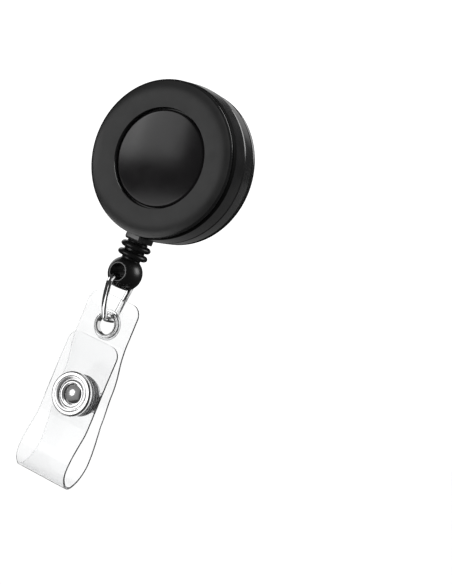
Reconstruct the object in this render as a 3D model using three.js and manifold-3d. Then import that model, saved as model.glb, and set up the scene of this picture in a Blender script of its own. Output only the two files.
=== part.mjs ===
// Retractable badge reel: case, sprung spool, swivelling back clip, bead, wire ring and snap strap.
// Millimetres. X to the right, Y to the back, Z up. The case is a disc whose axis runs along Y.
// Pieces are drawn about the centre of the case; the last lines move the origin to the clip's jaw.
import * as THREE from 'three';
import { mergeVertices } from 'three/addons/utils/BufferGeometryUtils.js';
import Module from 'manifold-3d';

const wasm = await Module();
wasm.setup();

// ---- Driving dimensions ----
const CLEAR = 0.3; // gap between neighbouring pieces
const SKIN = 1.1; // case wall
const CASE_R = 16; // edge circle of both faces
const CASE_HALF = 5.65; // centre plane to the flat of either face
const DRAFT = 0.5; // how much wider the wall is at the seam than at the edge circle
const LABEL_R = 9.9; // label disc
const LABEL_RECESS = 1.25; // depth of the recess round it
const PLATE_R = 12.2; // swivel plate
const PLATE_THICK = 0.9;
const LINE_Y = -0.7; // plane of the cord, its guide and the bead, a little in front of the centre plane
const GUIDE = { width: 3.4, depth: 5.8, bottom: -17.4 }; // cord guide block
const CORD_R = 0.4;
const DRUM_R = 10.5; // spool drum
const FLANGE_R = 13.6; // spool flanges
const CHANNEL = 2.8; // width of the cord channel
const POST_R = 2.4; // centre post of the front cover
const BEAD = { rib: 3.15, top: -17.7, ribTop: -17.85, ribPitch: 1.75, ribThick: 1.3, neck: 2.15, waist: 1.95 };
const BALL = { radius: 3.55, z: -24.3, hole: 1.85, cut: 3.15 };
const WIRE_R = 0.62; // wire of the ring
const EYELET = { y: 0.3, z: -35.5, hole: 2.0, flange: 2.75, washer: 3.15 };
const STRAP = { width: 12.5, thick: 0.5, top: -29.5, flapTop: -38.85, bottom: -69, corner: 2.2 };
const SNAP = { z: -51, capR: 4.65, baseR: 4.35, flapY: -1.35, backY: 2.2 }; // flapY, backY: the strap's legs
const PIVOT = { y: 7.6, z: 6.5 }; // clip pin
const PIN_R = 0.6;
const ARM = { width: 6.3, thick: 0.8, tipZ: -10.5, tipY: 7.55, endZ: 14.2, endY: 11.05 }; // clip arm
const LUG = { inner: 3.5, outer: 5.9, radius: 2.2 };

const BIG_ROUND = 48; // segments round the case
const SMALL_ROUND = 24; // segments round small turned pieces
const FINE_ROUND = 16; // segments round pins and bores

// ---- Materials ----
function finish(color, roughness, metalness, opacity = 1) {
  return new THREE.MeshStandardMaterial({ color, roughness, metalness, opacity, transparent: opacity < 1 });
}

const satinBlack = finish(0x1b1b1c, 0.45, 0);
const glossBlack = finish(0x0e0d0e, 0.08, 0);
const beadBlack = finish(0x0b0b0b, 0.25, 0);
const whiteNylon = finish(0xe4e2da, 0.5, 0);
const cordBlack = finish(0x141414, 0.8, 0);
const chrome = finish(0xc9c9cb, 0.12, 1);
const nickel = finish(0xd2d2d4, 0.28, 1);
const springSteel = finish(0x8b8e92, 0.3, 1);
const clearVinyl = finish(0xf1f3f4, 0.1, 0, 0.35);

// ---- Geometry helpers ----
// A turned piece about the Y axis. The profile is a list of [radius, y]; it closes on itself or on the axis.
function turned(profile, segments = SMALL_ROUND) {
  const points = profile.map(([r, y]) => new THREE.Vector2(r, y));
  const onAxis = points[0].x === 0 && points[points.length - 1].x === 0;
  if (!onAxis) points.push(points[0].clone());
  if (THREE.ShapeUtils.area(points) < 0) points.reverse();
  return new THREE.LatheGeometry(points, segments);
}

// A ring or disc about the Y axis between two Y values; inner 0 makes a disc.
function collar(inner, outer, y0, y1, segments = SMALL_ROUND) {
  return turned([[inner, y0], [outer, y0], [outer, y1], [inner, y1]], segments);
}

// Points of a circular arc in the profile plane, angles in degrees from the radius axis.
function arc(r, y, radius, from, to, steps) {
  return Array.from({ length: steps + 1 }, (_, i) => {
    const angle = THREE.MathUtils.degToRad(from + ((to - from) * i) / steps);
    return [r + radius * Math.cos(angle), y + radius * Math.sin(angle)];
  });
}

// A shape drawn in (z, y), given a width along X.
function prismX(shape, width, centreX = 0) {
  const geometry = new THREE.ExtrudeGeometry(shape, { depth: width, bevelEnabled: false, curveSegments: 10 });
  return geometry.translate(0, 0, -width / 2).rotateY(-Math.PI / 2).translate(centreX, 0, 0);
}

// A shape drawn in (x, z), given a depth from one Y value to another.
function prismY(shape, y0, y1) {
  const geometry = new THREE.ExtrudeGeometry(shape, { depth: y1 - y0, bevelEnabled: false, curveSegments: 6 });
  return geometry.rotateX(Math.PI / 2).translate(0, y1, 0);
}

function rod(radius, length, axis, segments = FINE_ROUND) {
  const geometry = new THREE.CylinderGeometry(radius, radius, length, segments);
  if (axis === 'x') geometry.rotateZ(Math.PI / 2);
  if (axis === 'z') geometry.rotateX(Math.PI / 2);
  return geometry;
}

// A round wire along a curve.
function wire(curve, radius, steps, sides) {
  const section = new THREE.Shape(new THREE.EllipseCurve(0, 0, radius, radius).getPoints(sides).slice(0, sides));
  return new THREE.ExtrudeGeometry(section, { steps, extrudePath: curve, curveSegments: sides });
}

function polygon(points) {
  return new THREE.Shape(points.map(([a, b]) => new THREE.Vector2(a, b)));
}

function solid(geometry) {
  const bare = geometry.clone();
  bare.deleteAttribute('normal');
  bare.deleteAttribute('uv');
  const merged = mergeVertices(bare, 1e-4);
  const vertProperties = new Float32Array(merged.attributes.position.array);
  const triVerts = new Uint32Array(merged.index.array);
  const mesh = new wasm.Mesh({ numProp: 3, vertProperties, triVerts });
  return new wasm.Manifold(mesh);
}

function geometryOf(manifold) {
  const mesh = manifold.getMesh();
  const geometry = new THREE.BufferGeometry();
  geometry.setAttribute('position', new THREE.BufferAttribute(mesh.vertProperties, 3));
  geometry.setIndex(new THREE.BufferAttribute(mesh.triVerts, 1));
  geometry.computeVertexNormals();
  return geometry;
}

// Joins the first list of geometries and cuts the second list from them.
function carve(parts, cuts = []) {
  let body = solid(parts[0]);
  for (const part of parts.slice(1)) body = body.add(solid(part));
  for (const cut of cuts) body = body.subtract(solid(cut));
  return geometryOf(body);
}

const reel = new THREE.Group();

function place(name, geometry, material, parent = reel) {
  const mesh = new THREE.Mesh(geometry, material);
  mesh.name = name;
  parent.add(mesh);
  return mesh;
}

// ---- Case ----
// Outside of one half, from the flat of its face at radius `from` to the seam; side is -1 in front, 1 behind.
function shellOutside(side, from) {
  const edgeY = CASE_HALF - 0.75; // start of the rounded rim
  const flatR = CASE_R - 1.7;
  const rim = [1, 2, 3, 4].map((i) => {
    const angle = (i / 4) * (Math.PI / 2);
    return [flatR + (CASE_R - flatR) * Math.sin(angle), edgeY + (CASE_HALF - edgeY) * Math.cos(angle)];
  });
  const profile = [
    [from, CASE_HALF],
    [flatR, CASE_HALF],
    ...rim,
    [CASE_R - 0.15, edgeY - 0.3], // shadow groove behind the rim
    [CASE_R + 0.2, edgeY - 0.6], // thin ridge
    [CASE_R + DRAFT, CLEAR / 2],
  ];
  return profile.map(([r, y]) => [r, side * y]);
}

const FLOOR_Y = CASE_HALF - LABEL_RECESS; // bottom of the recess, measured from the centre plane
const INSIDE_Y = FLOOR_Y - SKIN + 0.1; // inside faces of the case
const INSIDE_R = CASE_R + DRAFT - SKIN;

function guideNotch() {
  const cut = new THREE.BoxGeometry(GUIDE.width + 2 * CLEAR, GUIDE.depth + 2 * CLEAR, 5);
  return cut.translate(0, LINE_Y, GUIDE.bottom + 1.5);
}

function frontCover() {
  const postEnd = CHANNEL / 2 + 0.75;
  const profile = [
    [0, -FLOOR_Y],
    [LABEL_R + 0.4, -FLOOR_Y],
    ...shellOutside(-1, LABEL_R + 0.4),
    [INSIDE_R, -CLEAR / 2],
    [INSIDE_R - 0.4, -INSIDE_Y + 0.5],
    [INSIDE_R - 0.9, -INSIDE_Y],
    [POST_R, -INSIDE_Y],
    [POST_R, postEnd],
    [0, postEnd],
  ];
  return carve([turned(profile, BIG_ROUND)], [guideNotch()]);
}

function rearShell() {
  const boreR = 1.5;
  const profile = [
    [boreR, FLOOR_Y],
    [PLATE_R + CLEAR, FLOOR_Y],
    ...shellOutside(1, PLATE_R + CLEAR),
    [INSIDE_R, CLEAR / 2],
    [INSIDE_R - 0.4, INSIDE_Y - 0.5],
    [INSIDE_R - 0.9, INSIDE_Y],
    [boreR, INSIDE_Y],
  ];
  return carve([turned(profile, BIG_ROUND)], [guideNotch()]);
}

function labelDisc() {
  const back = -FLOOR_Y - CLEAR;
  const rim = -FLOOR_Y - 0.65;
  const crown = -CASE_HALF + 0.1;
  const rings = 4;
  const dome = Array.from({ length: rings + 1 }, (_, i) => {
    const u = 1 - i / rings;
    return [(LABEL_R - 0.2) * u, crown + (rim - crown) * u * u];
  });
  return turned([[0, back], [LABEL_R, back], [LABEL_R, rim + 0.15], ...dome], BIG_ROUND);
}

function cordGuide() {
  const top = -14.6;
  const block = new THREE.BoxGeometry(GUIDE.width, GUIDE.depth, top - GUIDE.bottom);
  block.translate(0, 0, (top + GUIDE.bottom) / 2);
  const head = new THREE.BoxGeometry(GUIDE.width + 2, GUIDE.depth - 1.1, 0.7).translate(0, 0, -14.35);
  const boreR = CORD_R + 0.6;
  const bore = rod(boreR, 8, 'z').translate(0, 0, -16);
  const mouth = new THREE.CylinderGeometry(2.5, boreR, 1.6, FINE_ROUND).rotateX(Math.PI / 2);
  return carve([block, head], [bore, mouth.translate(0, 0, -14.6)]);
}

// ---- Spool, spring and cord ----
function spool() {
  const half = CHANNEL / 2;
  const flange = 0.8;
  const cupR = DRUM_R - 0.8;
  const boreR = POST_R + CLEAR;
  const profile = [
    [boreR, half],
    [cupR, half],
    [cupR, -half - flange],
    [FLANGE_R, -half - flange],
    [FLANGE_R, -half],
    [DRUM_R, -half],
    [DRUM_R, half],
    [FLANGE_R, half],
    [FLANGE_R, half + flange],
    [boreR, half + flange],
  ];
  return turned(profile, BIG_ROUND);
}

// A flat spiral band, wound between the centre post and the wall of the spool's cup.
function powerSpring() {
  const turns = 7;
  const perTurn = 16;
  const inner = POST_R + 0.5;
  const outer = DRUM_R - 0.8 - 0.55;
  const band = 0.3;
  const edge = (offset) => Array.from({ length: turns * perTurn + 1 }, (_, i) => {
    const angle = (i / perTurn) * Math.PI * 2;
    const r = inner + ((outer - inner) * i) / (turns * perTurn) + offset;
    return [r * Math.cos(angle), r * Math.sin(angle)];
  });
  const outline = polygon([...edge(band / 2), ...edge(-band / 2).reverse()]);
  return prismY(outline, -CHANNEL / 2 - 0.5, CHANNEL / 2 - CLEAR);
}

const CORD_ROUTE = [[-6.9, -11.2], [-3.9, -12.7], [-1.5, -13.8], [-0.5, -14.7], [-0.1, -15.7],
  [0, -16.8], [0, -18.5], [0, -20.4], [0, -22.2]]; // x and z of the cord from the spool to its knot

function pullCord() {
  const curve = new THREE.CatmullRomCurve3(CORD_ROUTE.map(([x, z]) => new THREE.Vector3(x, 0, z)));
  return wire(curve, CORD_R, 20, 8);
}

// ---- Bead ----
function strapBead() {
  const rib = (n) => {
    const top = BEAD.ribTop - n * BEAD.ribPitch;
    const round = BEAD.ribThick / 2;
    const bulge = arc(BEAD.rib - round, top - round, round, 90, -90, 4);
    return [[BEAD.neck, top], ...bulge, [BEAD.neck, top - 2 * round]];
  };
  const start = THREE.MathUtils.radToDeg(Math.acos(BEAD.waist / BALL.radius));
  const end = -THREE.MathUtils.radToDeg(Math.asin(BALL.cut / BALL.radius));
  const waistTop = BEAD.ribTop - BEAD.ribPitch - BEAD.ribThick;
  const profile = [
    [0, BEAD.top],
    [BEAD.neck, BEAD.top],
    ...rib(0),
    ...rib(1),
    [BEAD.waist, waistTop],
    ...arc(0, BALL.z, BALL.radius, start, end, 10),
    [0, BALL.z - BALL.cut],
  ];
  const cross = rod(BALL.hole, 10, 'y', SMALL_ROUND).translate(0, 0, BALL.z);
  const neckBore = rod(CORD_R + CLEAR, 8, 'z').translate(0, 0, BEAD.top - 3);
  return carve([turned(profile).rotateX(Math.PI / 2)], [cross, neckBore]);
}

// ---- Wire ring ----
// The wire lies in the YZ plane: a bar through the ball, two legs that close towards the eyelet.
const RING_TOP = BALL.z - BALL.hole + WIRE_R + 0.1;
const RING_LOW = EYELET.z + EYELET.hole - WIRE_R - 0.15;

function wireRing() {
  const joint = 0.15; // half of the gap where the wire's ends meet, inside the ball
  const front = [[LINE_Y - joint, RING_TOP], [-3.5, RING_TOP], [-4.75, RING_TOP - 0.4], [-5.15, RING_TOP - 1.3],
    [-4.85, RING_TOP - 2.7], [-4.3, RING_TOP - 4.5], [-3.4, RING_TOP - 6.3], [-2.2, RING_TOP - 7.9],
    [-1.35, RING_LOW + 0.15], [-0.6, RING_LOW]];
  const back = [[LINE_Y + joint, RING_TOP], [2.1, RING_TOP], [3.3, RING_TOP - 0.4], [3.7, RING_TOP - 1.3],
    [3.45, RING_TOP - 2.7], [3.1, RING_TOP - 4.5], [2.8, RING_TOP - 6.3], [2.45, RING_TOP - 7.7],
    [1.9, RING_LOW + 0.15], [1.2, RING_LOW]];
  const route = [...front, [EYELET.y, RING_LOW], ...back.reverse()];
  const points = route.map(([y, z]) => new THREE.Vector3(0, y, z));
  return wire(new THREE.CatmullRomCurve3(points, false, 'centripetal'), WIRE_R, 48, 8);
}

// ---- Strap ----
// Each leg is a bent strip: a centre line in (z, y), thickened, given the strap's width and its round corners.
function leg(route, top, holes) {
  const line = new THREE.SplineCurve(route.map(([z, y]) => new THREE.Vector2(z, y))).getPoints(28);
  const offset = (sign) => line.map((point, i) => {
    const before = line[Math.max(i - 1, 0)];
    const after = line[Math.min(i + 1, line.length - 1)];
    const along = after.clone().sub(before).normalize();
    return [point.x - sign * along.y * STRAP.thick / 2, point.y + sign * along.x * STRAP.thick / 2];
  });
  const strip = prismX(polygon([...offset(1), ...offset(-1).reverse()]), STRAP.width);
  const half = STRAP.width / 2;
  const r = STRAP.corner;
  const outline = new THREE.Shape();
  outline.moveTo(-half - 1, STRAP.bottom - 5);
  outline.lineTo(half + 1, STRAP.bottom - 5);
  outline.lineTo(half + 1, top - r);
  outline.lineTo(half, top - r);
  outline.absarc(half - r, top - r, r, 0, Math.PI / 2, false);
  outline.absarc(-half + r, top - r, r, Math.PI / 2, Math.PI, false);
  outline.lineTo(-half - 1, top - r);
  const trimmed = solid(strip).intersect(solid(prismY(outline, -9, 9)));
  return carve([geometryOf(trimmed)], holes);
}

function strapBack() {
  const route = [[STRAP.top + 0.2, EYELET.y], [-32.5, EYELET.y], [-38.5, EYELET.y], [-41.5, 0.8], [-44.5, 1.75],
    [-47, SNAP.backY], [-51, SNAP.backY], [-55, SNAP.backY], [-57.3, 2.85], [-59.5, 3.55], [-62, 4], [-64.6, 3.9],
    [-67, 2.85], [-68.7, 1.2], [STRAP.bottom, 0.15]];
  const eyeletHole = rod(EYELET.hole + 0.65, 4, 'y', SMALL_ROUND).translate(0, 0, EYELET.z);
  const studHole = rod(1.3, 6, 'y').translate(0, 0, SNAP.z);
  return leg(route, STRAP.top, [eyeletHole, studHole]);
}

function strapFlap() {
  const route = [[STRAP.flapTop + 0.2, -1.15], [-43, -1.25], [-46, SNAP.flapY], [-51, SNAP.flapY],
    [-55.5, SNAP.flapY], [-57.5, -1.5], [-60, -2.2], [-62.5, -2.85], [-65, -3.15], [-67, -2.75],
    [-68.6, -1.3], [STRAP.bottom, -0.15]];
  const capHole = rod(1.5, 8, 'y').translate(0, 0, SNAP.z);
  return leg(route, STRAP.flapTop, [capHole]);
}

function eyelet() {
  const barrel = EYELET.hole + 0.35;
  const profile = [
    [EYELET.hole, 0.95],
    [EYELET.hole, -0.75],
    [EYELET.hole + 0.15, -0.95],
    [EYELET.flange - 0.1, -0.95],
    [EYELET.flange, -0.8],
    [EYELET.flange, -0.55],
    [barrel, -0.55],
    [barrel, 0.95],
  ];
  return turned(profile).translate(0, 0, EYELET.z);
}

function eyeletWasher() {
  const inner = EYELET.hole + 0.35 + CLEAR;
  return collar(inner, EYELET.washer, 0.55, 0.85).translate(0, 0, EYELET.z);
}

// ---- Snap ----
const FLAP_FRONT = SNAP.flapY - STRAP.thick / 2;
const FLAP_BACK = SNAP.flapY + STRAP.thick / 2;
const BACK_FRONT = SNAP.backY - STRAP.thick / 2;
const BACK_BACK = SNAP.backY + STRAP.thick / 2;

function snapCap() {
  const seat = FLAP_FRONT - CLEAR;
  const face = seat - 0.75;
  const profile = [
    [0, FLAP_BACK],
    [1.2, FLAP_BACK],
    [1.2, seat],
    [SNAP.capR - 0.2, seat],
    [SNAP.capR, seat - 0.3],
    [SNAP.capR - 0.15, face],
    [SNAP.capR - 0.75, face + 0.1],
    [SNAP.capR - 1.2, face + 0.5],
    [2.85, face + 0.5],
    [2.6, face + 0.15],
    [2.2, face + 0.15],
    [1.9, face + 0.45],
    [0.9, face + 0.35],
    [0, face + 0.3],
  ];
  return turned(profile).translate(0, 0, SNAP.z);
}

function snapSocket() {
  const front = FLAP_BACK + CLEAR;
  return collar(1.85, SNAP.baseR, front, front + 1.2).translate(0, 0, SNAP.z);
}

function snapStud() {
  const base = BACK_FRONT - CLEAR;
  const tip = FLAP_BACK + CLEAR + 0.1;
  const profile = [[0, tip], [1.35, tip], [1.5, tip + 0.2], [1.5, base - 0.6], [SNAP.baseR, base - 0.6],
    [SNAP.baseR, base], [0, base]];
  return turned(profile).translate(0, 0, SNAP.z);
}

function snapPost() {
  const seat = BACK_BACK + CLEAR;
  const profile = [[0, BACK_FRONT], [0.95, BACK_FRONT], [0.95, seat], [4.1, seat], [4.1, seat + 0.2],
    [3.5, seat + 0.5], [0, seat + 0.6]];
  return turned(profile).translate(0, 0, SNAP.z);
}

// ---- Back clip ----
function swivelPlate() {
  const face = CASE_HALF;
  const disc = collar(1.5, PLATE_R, face - PLATE_THICK, face, BIG_ROUND);
  const lug = new THREE.Shape();
  lug.moveTo(PIVOT.z - 2.9, face - 0.3);
  lug.lineTo(PIVOT.z - LUG.radius, PIVOT.y);
  lug.absarc(PIVOT.z, PIVOT.y, LUG.radius, Math.PI, 0, true);
  lug.lineTo(PIVOT.z + 2.9, face - 0.3);
  const width = LUG.outer - LUG.inner;
  const middle = (LUG.outer + LUG.inner) / 2;
  const lugs = [-1, 1].map((side) => prismX(lug, width, side * middle));
  const bore = rod(PIN_R + CLEAR, 20, 'x').translate(0, PIVOT.y, PIVOT.z);
  return carve([disc, ...lugs], [bore]);
}

function clipRivet() {
  const head = CASE_HALF + CLEAR;
  const end = CHANNEL / 2 + 0.8 + CLEAR;
  const profile = [[0, end], [1.2, end], [1.2, head], [1.9, head], [1.9, head + 0.15], [1.3, head + 0.4],
    [0, head + 0.45]];
  return turned(profile);
}

function rivetWasher() {
  return collar(1.5, 3, INSIDE_Y - CLEAR - 0.45, INSIDE_Y - CLEAR);
}

// Outside surface of the arm at a height z.
function armY(z) {
  return ARM.tipY + ((ARM.endY - ARM.tipY) * (z - ARM.tipZ)) / (ARM.endZ - ARM.tipZ);
}

function clipLever() {
  const strip = polygon([
    [ARM.tipZ, armY(ARM.tipZ) - ARM.thick],
    [ARM.endZ, armY(ARM.endZ) - ARM.thick],
    [ARM.endZ, armY(ARM.endZ)],
    [ARM.tipZ, armY(ARM.tipZ)],
  ]);
  const lip = polygon([
    [ARM.tipZ, CASE_HALF + CLEAR],
    [ARM.tipZ + 0.7, CASE_HALF + CLEAR],
    [ARM.tipZ + 1.1, armY(ARM.tipZ + 1.1) - 0.3],
    [ARM.tipZ, armY(ARM.tipZ) - 0.3],
  ]);
  const notch = ARM.tipZ + 2;
  const flange = polygon([
    [notch, armY(notch) - 0.3],
    [notch + 0.3, armY(notch) - 1.25],
    [PIVOT.z - 2.5, armY(PIVOT.z) - 2.2],
    [PIVOT.z + 2.5, armY(PIVOT.z) - 2.2],
    [ARM.endZ - 0.6, armY(ARM.endZ) - 1.7],
    [ARM.endZ, armY(ARM.endZ) - 0.3],
  ]);
  const sideX = ARM.width / 2 - ARM.thick / 2;
  const flanges = [-1, 1].map((side) => prismX(flange, ARM.thick, side * sideX));
  const ears = [-1, 1].map((side) => rod(1.5, ARM.thick, 'x').translate(side * sideX, PIVOT.y, PIVOT.z));
  const bore = rod(PIN_R + CLEAR, 20, 'x').translate(0, PIVOT.y, PIVOT.z);
  return carve([prismX(strip, ARM.width), prismX(lip, ARM.width), ...flanges, ...ears], [bore]);
}

// The clip's torsion spring: a coil on the pin, one leg on the plate and one under the thumb end.
class TorsionCurve extends THREE.Curve {
  getPoint(t) {
    const coil = 1.05;
    const turns = 4.5;
    const reach = 4.2;
    const legPart = 0.1;
    const width = 3;
    const coilPart = THREE.MathUtils.clamp((t - legPart) / (1 - 2 * legPart), 0, 1);
    const angle = -Math.PI / 2 - coilPart * turns * 2 * Math.PI;
    const x = width * (coilPart - 0.5);
    const z = PIVOT.z + coil * Math.cos(angle);
    const y = PIVOT.y + coil * Math.sin(angle);
    const out = Math.max(0, legPart - t, t - (1 - legPart)) / legPart;
    const low = t < legPart;
    return new THREE.Vector3(x, y + out * (low ? -0.3 : 0.35), z + out * reach);
  }
}

function clipSpring() {
  return wire(new TorsionCurve(), 0.2, 72, 5);
}

// ---- Assembly ----
place('front_cover', frontCover(), satinBlack);
place('rear_shell', rearShell(), satinBlack);
place('label_disc', labelDisc(), glossBlack);
place('cord_guide', cordGuide(), satinBlack).position.y = LINE_Y;
place('power_spring', powerSpring(), springSteel);

place('spool', spool(), whiteNylon);
const windingHalf = CHANNEL / 2 - CLEAR;
place('cord_winding', collar(DRUM_R + CLEAR, DRUM_R + 2, -windingHalf, windingHalf, BIG_ROUND), cordBlack);

place('pull_cord', pullCord(), cordBlack).position.y = LINE_Y;
const knot = place('cord_knot', new THREE.SphereGeometry(0.8, 10, 8), cordBlack);
knot.position.set(0, LINE_Y, BALL.z + 0.75);
place('strap_bead', strapBead(), beadBlack).position.y = LINE_Y;
place('wire_ring', wireRing(), chrome);

place('strap_back', strapBack(), clearVinyl);
place('strap_flap', strapFlap(), clearVinyl);
place('eyelet', eyelet(), chrome).position.y = EYELET.y;
place('eyelet_washer', eyeletWasher(), chrome).position.y = EYELET.y;
place('snap_cap', snapCap(), chrome);
place('snap_socket', snapSocket(), chrome);
place('snap_stud', snapStud(), chrome);
place('snap_post', snapPost(), chrome);

place('swivel_plate', swivelPlate(), satinBlack);
place('clip_rivet', clipRivet(), nickel);
place('rivet_washer', rivetWasher(), nickel);
const pin = place('clip_pin', rod(PIN_R, 2 * LUG.outer + 0.5, 'x'), nickel);
pin.position.set(0, PIVOT.y, PIVOT.z);
place('clip_lever', clipLever(), nickel);
place('clip_spring', clipSpring(), springSteel);

// Origin: the middle of the clip's jaw, where cloth is pinched against the swivel plate.
reel.position.set(0, -CASE_HALF, -(ARM.tipZ + 0.35));

const model = new THREE.Group();
model.add(reel);

export default model;
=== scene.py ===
"""Looks of a retractable badge reel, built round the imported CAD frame.

Lengths below are millimetres about the centre of the case, X right, Y back, Z up; at() turns them into
metres in the frame. The strap hangs down along -Z and the back clip is on the +Y side.
"""

from math import acos, asin, cos, exp, hypot, pi, radians, sin, sqrt, tan

import bmesh
import bpy
from mathutils import Matrix, Vector


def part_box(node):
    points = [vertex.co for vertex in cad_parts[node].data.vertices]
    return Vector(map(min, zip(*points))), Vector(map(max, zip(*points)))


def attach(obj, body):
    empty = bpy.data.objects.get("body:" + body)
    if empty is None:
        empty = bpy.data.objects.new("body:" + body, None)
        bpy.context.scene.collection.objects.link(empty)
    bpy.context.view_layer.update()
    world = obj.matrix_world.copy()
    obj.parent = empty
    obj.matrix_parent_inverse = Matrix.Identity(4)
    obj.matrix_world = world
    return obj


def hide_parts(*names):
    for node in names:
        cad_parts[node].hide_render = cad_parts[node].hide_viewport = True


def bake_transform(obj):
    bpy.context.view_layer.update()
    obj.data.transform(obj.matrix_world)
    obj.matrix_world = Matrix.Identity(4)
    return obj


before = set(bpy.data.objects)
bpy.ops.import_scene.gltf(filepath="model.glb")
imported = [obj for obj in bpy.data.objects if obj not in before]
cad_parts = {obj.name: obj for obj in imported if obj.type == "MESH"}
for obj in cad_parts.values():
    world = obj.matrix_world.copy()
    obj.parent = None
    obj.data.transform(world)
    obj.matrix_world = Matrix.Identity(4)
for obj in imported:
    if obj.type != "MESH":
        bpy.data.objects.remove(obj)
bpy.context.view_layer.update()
MM = 0.001


# ---- Places and sizes from the frame ----
def box_mm(node):
    """Lowest and highest corner of a CAD node in millimetres about the centre of the case."""
    low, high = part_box(node)
    return [(corner - CENTRE) / MM for corner in (low, high)]


def case_centre():
    low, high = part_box("label_disc")
    front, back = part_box("front_cover")[0].y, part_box("rear_shell")[1].y
    return Vector(((low.x + high.x) / 2, (front + back) / 2, (low.z + high.z) / 2))


CENTRE = case_centre()
FACE = box_mm("rear_shell")[1].y  # centre plane to the flat of either face
SEAM_R = box_mm("rear_shell")[1].x
RIM_R = SEAM_R - 0.5  # edge circle of both faces
LABEL_R = box_mm("label_disc")[1].x
LABEL_BACK = box_mm("label_disc")[1].y
PLATE_R = box_mm("swivel_plate")[1].x
PLATE_IN = box_mm("swivel_plate")[0].y
PLATE_GROOVE_R = PLATE_R + 0.32
GUIDE_LOW, GUIDE_HIGH = box_mm("cord_guide")
BEAD_LOW, BEAD_HIGH = box_mm("strap_bead")
LINE_Y = (BEAD_LOW.y + BEAD_HIGH.y) / 2  # plane of the cord, its guide and the bead
BALL_R = BEAD_HIGH.x
BALL_CUT = 3.15  # centre of the ball to its flat bottom
BALL_Z = BEAD_LOW.z + BALL_CUT
BALL_HOLE = 1.85  # radius of the cross hole
RING_LOW, RING_HIGH = box_mm("wire_ring")
WIRE_R = RING_HIGH.x
STRAP_LOW, STRAP_HIGH = box_mm("strap_back")
STRAP_HALF = STRAP_HIGH.x
VINYL = 0.5  # thickness of the strap
FLAP_TOP = box_mm("strap_flap")[1].z
EYELET_LOW, EYELET_HIGH = box_mm("eyelet")
EYELET_Y = (EYELET_LOW.y + EYELET_HIGH.y) / 2
EYELET_Z = (EYELET_LOW.z + EYELET_HIGH.z) / 2
CAP_LOW, CAP_HIGH = box_mm("snap_cap")
SNAP_Z = (CAP_LOW.z + CAP_HIGH.z) / 2
CAP_R = CAP_HIGH.x
BASE_R = box_mm("snap_socket")[1].x
FLAP_Y = CAP_HIGH.y - VINYL / 2  # middle of the flap where the snap is
BACK_Y = box_mm("snap_post")[0].y + VINYL / 2  # middle of the back leg where the snap is
PIN_LOW, PIN_HIGH = box_mm("clip_pin")
PIN_Y = (PIN_LOW.y + PIN_HIGH.y) / 2
PIN_Z = (PIN_LOW.z + PIN_HIGH.z) / 2
ARM_LOW, ARM_HIGH = box_mm("clip_lever")
SPOOL_HIGH = box_mm("spool")[1]


def at(x, y, z):
    return CENTRE + Vector((x, y, z)) * MM


def add_object(name, data):
    obj = bpy.data.objects.new(name, data)
    bpy.context.scene.collection.objects.link(obj)
    return obj


# ---- Camera ----
CAMERA_AZIMUTH = 28.25  # degrees round from the front, towards +X
CAMERA_ELEVATION = 4.27
CAMERA_ROLL = 22.54  # the object's top leans to the right in the picture
CAMERA_DISTANCE = 440.0
CAMERA_AIM = (22.64, 0.0, -19.21)
CAMERA_LENS = 137.4
CAMERA_SENSOR = 36.0
CAMERA_NEAR = 0.01  # metres


def add_camera():
    azimuth = radians(CAMERA_AZIMUTH)
    elevation = radians(CAMERA_ELEVATION)
    towards = Vector((sin(azimuth) * cos(elevation), -cos(azimuth) * cos(elevation),
                      sin(elevation)))
    data = bpy.data.cameras.new("camera")
    data.lens = CAMERA_LENS
    data.sensor_width = CAMERA_SENSOR
    data.clip_start = CAMERA_NEAR
    camera = add_object("camera", data)
    aim = at(*CAMERA_AIM)
    turn = towards.to_track_quat("Z", "Y").to_matrix().to_4x4()
    roll = Matrix.Rotation(radians(CAMERA_ROLL), 4, "Z")
    camera.matrix_world = Matrix.Translation(aim + towards * CAMERA_DISTANCE * MM) @ turn @ roll
    bpy.context.scene.camera = camera


# ---- Materials ----
NOISE_MIDDLE = (0.3, 0.7)  # nearly all of a noise texture's values lie between these


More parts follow.
